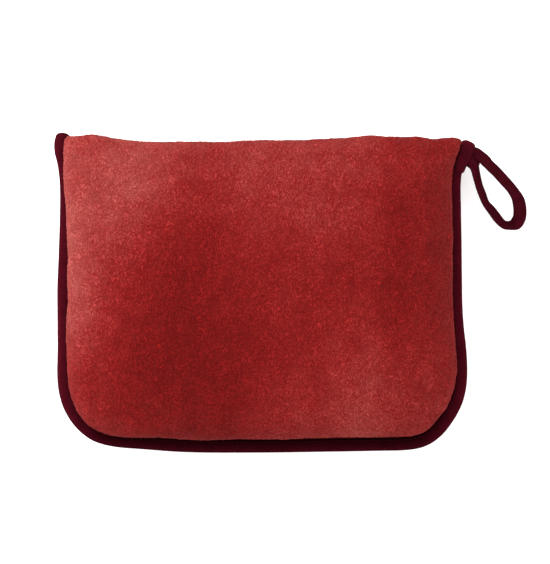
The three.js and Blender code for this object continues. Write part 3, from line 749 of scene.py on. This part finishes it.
def folded_section(depth, half, wall, steps=9):
    """A tape folded over an edge: outer skin then inner skin, as a closed ring."""
    turn = np.linspace(math.pi / 2, -math.pi / 2, steps)
    nose = half * 0.95
    skin = [(-depth, half * 0.93), (-depth * 0.62, half * 1.03)]
    skin += [(-nose + nose * math.cos(a), half * math.sin(a)) for a in turn]
    skin += [(-depth * 0.62, -half * 1.03), (-depth, -half * 0.93)]
    core = [(-nose + (nose - wall) * math.cos(a), (half - wall) * math.sin(a)) for a in turn[::-1]]
    inner = [(-depth, wall - half * 0.93)] + core + [(-depth, half * 0.93 - wall)]
    return np.array(skin + inner)


def make_binding():
    depth, half, wall, seam_in = 9.4, 3.7, 1.0, 7.6
    line = spline(BINDING_LINE, 900)
    line = np.concatenate([line, np.full((len(line), 1), SEAM)], 1)
    line[:, 2] += 0.35 * noise(line, 24, 21)
    tangent = np.gradient(line, axis=0)
    normal = unit(np.stack([tangent[:, 1], -tangent[:, 0], np.zeros(len(line))], 1))
    section = folded_section(depth, half, wall)
    far = travelled(line)
    fat = end_rounding(np.minimum(far, far[-1] - far) + 0.15, 3.4, 0.02)
    swell = 1 + 0.28 * np.exp(-((far - 8) / 9) ** 2)  # the fat end at the left top corner
    middle = np.array([-depth / 2, 0])
    sections = (section - middle) * (fat * swell)[:, None, None] + middle
    ripple = 0.22 * noise(line, 5.5, 22)
    sections = sections * (1 + ripple[:, None, None] * 0.06)
    points, faces, uv = sweep(line, normal, upward(len(line)), sections)
    points, faces, uv = capped(points, faces, uv, len(section))
    # the bottom lies in the plush's shade, most of all beside it
    across = np.tile(np.minimum(np.arange(len(section)), 4) / 4, len(line))
    low = np.repeat(np.clip(-normal[:, 1], 0, 1) ** 2, len(section))
    light = (1 - 0.4 * low) * (1 - (0.18 + 0.4 * low) * (1 - across))
    light = np.concatenate([light, np.full(len(points) - len(light), 0.8)])
    obj = make("binding_tape", points, faces, edge_tape, uv, fields={"shade": light})
    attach(obj, "pouch")
    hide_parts("edge_binding")
    runs = []
    for face in (1, -1):
        seam = line - normal * seam_in
        seam[:, 2] = SEAM + face * (half * 0.97 + 0.12)
        runs.append(stitches(seam, upward(len(seam), face), 2.5, 0.9, 0.28))
    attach(make_stitches("binding_stitches", runs), "pouch")


make_binding()

# ---- Carry loop ----

# Both edges of the tape as seen from above, from the neck down the outer strand, round and back up
LOOP_OUTER = [(147.6, 104.2), (151.8, 104.8), (155.4, 103.2), (159.1, 100.4), (163.6, 95.7), (168.4, 91.4),
              (174.3, 85.4), (179.7, 79.2), (184.1, 73.3), (187.9, 67.4), (189.3, 61.5), (189.2, 55.0),
              (187.2, 50.8), (183.5, 48.0), (178.0, 47.2), (172.6, 47.9), (167.2, 52.0), (163.0, 57.3),
              (158.8, 63.3), (155.6, 69.0), (153.1, 75.1), (151.0, 81.6), (149.0, 88.2), (147.2, 93.6)]
LOOP_INNER = [(147.6, 97.0), (151.0, 97.2), (153.6, 95.7), (157.0, 92.2), (160.6, 88.4), (164.8, 84.7),
              (170.0, 79.4), (174.3, 75.4), (177.5, 71.2), (179.4, 65.8), (180.0, 60.6), (179.6, 56.4),
              (178.3, 53.9), (176.6, 52.8), (174.6, 52.9), (172.6, 54.6), (169.4, 58.9), (166.0, 62.8),
              (161.9, 66.6), (159.6, 72.3), (157.0, 78.3), (155.4, 84.0), (153.9, 90.5), (152.4, 96.0)]
LOOP_WIDTH = 9.6
LOOP_HALF_THICKNESS = 1.05
# The hinge beside the neck, the way the loop hangs down from it, and that way seen from above
PIVOT = np.array([155.968, 91.038, SEAM])
SLOPE = np.array([0.4498, -0.7311, -0.5130])
LOOP_DROP = 0.5976  # how far the loop goes down for each millimetre along its heading


def loop_section():
    """A doubled tape with round edges and a slight crown."""
    half, thick = LOOP_WIDTH / 2, LOOP_HALF_THICKNESS
    turn = np.linspace(-math.pi / 2, math.pi / 2, 6)[1:-1]
    flat = np.linspace(-half + thick, half - thick, 8)
    crown = 0.25 * (1 - (flat / half) ** 2)
    return np.concatenate([
        np.stack([flat, -thick - crown], 1),
        np.stack([half - thick + thick * np.cos(turn), thick * np.sin(turn)], 1),
        np.stack([flat[::-1], thick + crown], 1),
        np.stack([-half + thick - thick * np.cos(turn), -thick * np.sin(turn)], 1),
    ])


def make_loop():
    """The tape keeps its width, so where it looks narrower it leans, and it lies down along its slope."""
    count = 260
    matched = spline(np.concatenate([LOOP_OUTER, LOOP_INNER], 1), count)
    outer, inner = matched[:, :2], matched[:, 2:]
    middle = (outer + inner) / 2
    wide = np.linalg.norm(outer - inner, axis=1)
    rise = np.sqrt(np.maximum(0, LOOP_WIDTH**2 - wide**2))
    run = np.linspace(0, 1, count)
    lean = np.interp(run, [0, 0.06, 0.36, 0.46, 0.54, 0.94, 1], [-0.5, -1, -1, -0.35, 1, 1, 0.5])
    down = np.maximum(0, (middle - PIVOT[:2]) @ unit(SLOPE[:2]))
    height = SEAM + 0.6 - down * LOOP_DROP
    clearance = 1.4
    height = np.maximum(height, np.abs(rise * lean) / 2 + clearance)
    centre = np.concatenate([middle, height[:, None]], 1)
    across = unit(np.concatenate([outer - inner, (rise * lean)[:, None]], 1))
    tangent = np.gradient(centre, axis=0)
    up = unit(np.cross(across, tangent))
    across = unit(np.cross(tangent, up))
    section = loop_section()
    points, faces, uv = sweep(centre, across, up, section)
    points, faces, uv = capped(points, faces, uv, len(section))
    obj = make("carry_loop_tape", points, faces, tape, uv)
    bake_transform(obj)
    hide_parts("carry_loop")
    runs = []
    seam_out = LOOP_WIDTH / 2 - 1.5
    for place in (seam_out, -seam_out):
        for face in (1, -1):
            row = centre + across * place + up * face * (LOOP_HALF_THICKNESS + 0.16)
            runs.append(stitches(row, up * face, 2.3, 0.8, 0.22))
    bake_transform(make_stitches("carry_loop_stitches", runs))


def make_neck():
    """The stitched stub where both strands come together."""
    steps = 40
    t = np.linspace(0, 1, steps)
    line = np.stack([145.6 + 6.8 * t, 97.0 - 6.8 * t, np.full(steps, SEAM)], 1)
    line[:, :2] += np.sin(math.pi * t)[:, None] * [0.5, 0.3]
    tangent = unit(np.gradient(line, axis=0))
    side = np.stack([-tangent[:, 1], tangent[:, 0], np.zeros(steps)], 1)
    ring = boxy_ring(28, 3.9, 2.7, 0.6, 0.7)
    fat = end_rounding(np.minimum(t, 1 - t) * 11 + 0.1, 2.0, 0.03) * np.interp(t, [0, 1], [1.22, 0.96])
    points, faces, uv = sweep(line, side, upward(steps), ring * fat[:, None, None])
    points, faces, uv = capped(points, faces, uv, len(ring))
    obj = make("loop_neck_tape", points, faces, tape, uv)
    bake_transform(obj)
    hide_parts("loop_neck")
    sewn = slice(14, 30)
    rows = [line[sewn] + side[sewn] * place + [0, 0, 2.75] for place in (-2.2, 0, 2.2)]
    runs = [stitches(row, upward(len(row)), 1.6, 0.4, 0.25) for row in rows]
    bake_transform(make_stitches("loop_neck_stitches", runs))


def make_root():
    """Tape doubled over the top of the right side binding: a fat flattened roll that leans outwards."""
    steps = 90
    line = spline([(139.4, 86.5), (140.6, 92), (142.8, 98), (145.4, 103.8), (147.7, 109.4)], steps)
    line = np.concatenate([line, np.full((steps, 1), SEAM)], 1)
    tangent = unit(np.gradient(line, axis=0))
    side = np.stack([tangent[:, 1], -tangent[:, 0], np.zeros(steps)], 1)
    ring = boxy_ring(44, 5.3, 5.9, 0.5, 0.75)
    t = np.linspace(0, 1, steps)
    fat = end_rounding((1 - t) * 21 + 0.15, 2.8, 0.02) * end_rounding(t * 19 + 0.15, 2.2, 0.02)
    wide = np.interp(t, [0, 0.4, 1], [0.76, 0.95, 1.04])
    points, faces, uv = sweep(line, side, upward(steps), ring * (fat * wide)[:, None, None])
    points = points + 0.25 * noise_vector(points, 5, (31, 32, 33))
    points, faces, uv = capped(points, faces, uv, len(ring))
    obj = make("loop_root_tape", points, faces, root_tape, uv)
    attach(obj, "pouch")
    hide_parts("loop_root")
    runs = []
    sewn = slice(12, 78)
    for place in (-3.0, 2.6):
        row = line[sewn] + side[sewn] * place
        row[:, 2] = SEAM + 5.7
        runs.append(stitches(row, upward(len(row)), 1.9, 0.6, 0.26))
    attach(make_stitches("loop_root_stitches", runs), "pouch")


make_loop()
make_neck()
make_root()

# ---- Zip ----


def split_along_x(low, high, build, name, body, material, slot):
    """Builds a long strip in three parts, whose ends stay with the pouch."""
    parts = (("left", low[0], -CORNER_IN), ("middle", -CORNER_IN, CORNER_IN), ("right", CORNER_IN, high[0]))
    for part, x0, x1 in parts:
        points, faces, uv = build(low, high, x0, x1)
        obj = make(f"{name}_{part}", points, faces, material, uv)
        ride_lip(obj, part, body)
        if part == "middle":
            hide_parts(name)


def strip(low, high, x0, x1):
    """Thin woven strip with a slight wave, from x0 to x1 in its CAD box."""
    count = max(8, int((x1 - x0) / 1.5))
    half, middle = (high - low) / 2, (low + high) / 2
    x = np.linspace(x0, x1, count)
    stations = np.stack([x, middle[1] + 0.12 * np.sin(x / 7.0), np.full(count, middle[2])], 1)
    ring = boxy_ring(30, half[2], half[1] * 0.8, 0.25, 0.5)
    points, faces, uv = sweep(stations, upward(count), np.tile([0, 1.0, 0], (count, 1)), ring)
    return capped(points, faces, uv, len(ring))


def coil(low, high, x0, x1):
    """Nylon helix that lies along the strip. The two coils turn opposite ways."""
    pitch, wire, around, sides = 1.5, 0.27, 14, 6
    half, middle = (high - low) / 2 - wire, (low + high) / 2
    hand = 1 if middle[2] > SEAM else -1
    first, last = math.ceil(x0 / pitch) * pitch, math.floor(x1 / pitch) * pitch
    count = int(round((last - first) / pitch)) * around + 1
    x = np.linspace(first, last, count)
    angle = hand * 2 * math.pi * x / pitch
    line = np.stack([x, middle[1] + half[1] * np.sin(angle), middle[2] + half[2] * np.cos(angle)], 1)
    u = np.stack([np.zeros(count), np.sin(angle), np.cos(angle)], 1)
    v = unit(np.cross(unit(np.gradient(line, axis=0)), u))
    turn = np.arange(sides) * 2 * math.pi / sides
    points, faces, uv = sweep(line, u, v, wire * np.stack([np.cos(turn), np.sin(turn)], 1))
    return capped(points, faces, uv, sides)


for name in ("front", "back"):
    split_along_x(*cad(f"zip_tape_{name}"), strip, f"zip_tape_{name}", name, tape, "zip_cloth")
    split_along_x(*cad(f"zip_coil_{name}"), coil, f"zip_coil_{name}", name, nylon, "zip_coil")

for node in ("zip_top_stop_front", "zip_top_stop_back", "zip_bottom_stop", "zip_slider", "zip_pull_tab"):
    nodes[node].data.materials.clear()
    nodes[node].data.materials.append(metal)
    soften = nodes[node].modifiers.new("worn_edges", "BEVEL")
    soften.width = 0.18 * MM
    soften.segments = 3
    soften.limit_method = "ANGLE"

# ---- Folded blanket ----

PLIES, PASSES = 4, 8  # folded in four along its width, then in eight along its length
CLOTH_THICKNESS = 0.9
BUNDLE_ROUNDING = 40.0


def zigzag(straight, step, count, spacing=6.0):
    """A line folded to and fro: place along, place across, its normal and its way."""
    radius = step / 2
    bend = math.pi * radius
    period = straight + bend
    total = count * straight + (count - 1) * bend
    s = [0.0]
    while s[-1] < total - 1e-6:
        inside = s[-1] % period
        fine = inside > straight - spacing * 0.6 or inside < spacing * 0.6
        s.append(min(total, s[-1] + (bend / 6 if fine else spacing)))
    s = np.array(s)
    k = np.minimum((s // period).astype(int), count - 1)
    rest = s - k * period
    way = np.where(k % 2 == 0, 1.0, -1.0)
    on_line = rest <= straight
    angle = np.clip((rest - straight) / radius, 0, math.pi)
    half = straight / 2
    along = np.where(on_line, rest - half, half + radius * np.sin(angle)) * way
    across = k * step + np.where(on_line, 0, radius * (1 - np.cos(angle))) - (count - 1) * step / 2
    normal_along = np.where(on_line, 0, -np.sin(angle)) * way
    normal_across = np.where(on_line, 1, np.cos(angle))
    return along, across, normal_along, normal_across, way


def rounded_bundle(x, y, z, half):
    """Rounds the corners seen from above, and thins the stack towards its edges."""
    away_x, away_y = np.abs(x), np.abs(y)
    over_x = np.maximum(0, away_x - (half[0] - BUNDLE_ROUNDING))
    over_y = np.maximum(0, away_y - (half[1] - BUNDLE_ROUNDING))
    over, square = np.hypot(over_x, over_y), np.maximum(over_x, over_y)
    pull = np.where(over > 0, square / np.maximum(over, 1e-9), 1)
    x = np.sign(x) * (away_x - over_x + over_x * pull)
    y = np.sign(y) * (away_y - over_y + over_y * pull)
    share = np.clip(0.6 + 0.4 * square / BUNDLE_ROUNDING, 0, 1)
    return x, y, z * np.sqrt(np.maximum(0.03, 1 - share**4.5 * 0.86))


def make_blanket():
    low, high = cad("folded_blanket")
    middle, half = (low + high) / 2, (high - low) / 2
    pass_step = 2 * half[2] / PASSES
    ply_step = pass_step / PLIES * 0.93
    x_line, ply, _, _, _ = zigzag(2 * half[0] - 1.0 - ply_step, ply_step, PLIES)
    y_line, z_line, ny, nz, way = zigzag(2 * half[1] - 2 * pass_step, pass_step, PASSES)
    # the normal keeps its side of the cloth, so it turns over at every second pass
    y = y_line[:, None] + ply[None, :] * (ny * way)[:, None]
    z = z_line[:, None] + ply[None, :] * (nz * way)[:, None]
    x = np.broadcast_to(x_line[None, :], y.shape)
    points = np.stack(rounded_bundle(x, y, z, half), -1).reshape(-1, 3) + middle
    calm = np.clip(1 - np.abs(z.reshape(-1)) / half[2], 0, 1)
    points[:, 2] += 0.35 * noise(points * [1, 1, 0.02], 33, 41) * calm
    points += 0.16 * noise_vector(points, 3.0, (42, 43, 44))
    past = np.clip(np.abs(points - middle) - half + 0.25, 0, None)
    points -= np.sign(points - middle) * past
    # the blanket gets only a random tone in this field, no painted light
    painted_light_and_tone = 0.5 + 0.12 * noise(points, 60, 45)
    obj = make("folded_blanket_cloth", points, grid_faces(*y.shape), fleece, fields={"painted_light_and_tone": painted_light_and_tone})
    thickness = obj.modifiers.new("cloth", "SOLIDIFY")
    thickness.thickness = CLOTH_THICKNESS * MM
    thickness.offset = 0.0
    return obj


blanket = make_blanket()
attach(blanket, "blanket")
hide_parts("folded_blanket")


def make_edge_tape():
    low, high = cad("blanket_edge_tape")
    count = 260
    x = np.linspace(low[0], high[0], count)
    line = np.stack([x, np.full(count, high[1]), (low[2] + high[2]) / 2 + 0.2 * np.sin(x / 17)], 1)
    section = folded_section(high[1] - low[1] + 0.6, (high[2] - low[2]) / 2, 0.8)
    points, faces, uv = sweep(line, np.tile([0, 1.0, 0], (count, 1)), upward(count), section)
    points, faces, uv = capped(points, faces, uv, len(section))
    obj = make("blanket_edge", points, faces, tape, uv)
    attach(obj, "blanket")
    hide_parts("blanket_edge_tape")
    return obj


blanket_edge = make_edge_tape()

label = nodes["care_label"]
label.data.materials.clear()
label.data.materials.append(satin)


def make_label_stitches():
    low, high = cad("care_label")
    inset = 1.2
    left, near, _ = low + inset
    right, far, _ = high - inset
    z = high[2] + 0.1
    corners = [(left, near, z), (right, near, z), (right, far, z), (left, far, z), (left, near, z)]
    sides = [np.linspace(a, b, 12) for a, b in zip(corners, corners[1:])]
    runs = [stitches(side, upward(len(side)), 1.5, 0.6, 0.16) for side in sides]
    obj = make_stitches("label_stitches", runs)
    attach(obj, "blanket")
    return obj


label_stitches = make_label_stitches()

# ---- Floor and light ----


def make_floor():
    size, steps = 3000.0, 24
    line = np.linspace(-size, size, steps)
    x, y = np.meshgrid(line, line)
    points = np.stack([x, y, np.full_like(x, -0.2)], -1).reshape(-1, 3)
    obj = make("studio_floor", points, grid_faces(steps, steps), floor_material())


def area_light(name, place, aim, size, power):
    """A round light, in metres and watts."""
    light = bpy.data.lights.new(name, "AREA")
    light.shape = "DISK"
    light.size = size
    light.energy = power
    obj = bpy.data.objects.new(name, light)
    obj.location = place
    obj.rotation_euler = (Vector(aim) - Vector(place)).to_track_quat("-Z", "Y").to_euler()
    scene.collection.objects.link(obj)


make_floor()
area_light("key", (-1.25, 0.75, 1.1), (0, 0, 0.03), 1.1, 34)
area_light("top", (-0.2, 0.4, 2.3), (0, 0, 0), 2.4, 34)
area_light("fill", (1.4, -0.7, 1.3), (0, 0, 0.03), 1.8, 10)
world = bpy.data.worlds.new("studio")
world.use_nodes = True
background = world.node_tree.nodes["Background"].inputs
background["Color"].default_value = (1.0, 1.0, 1.0, 1)
background["Strength"].default_value = 0.95
scene.world = world
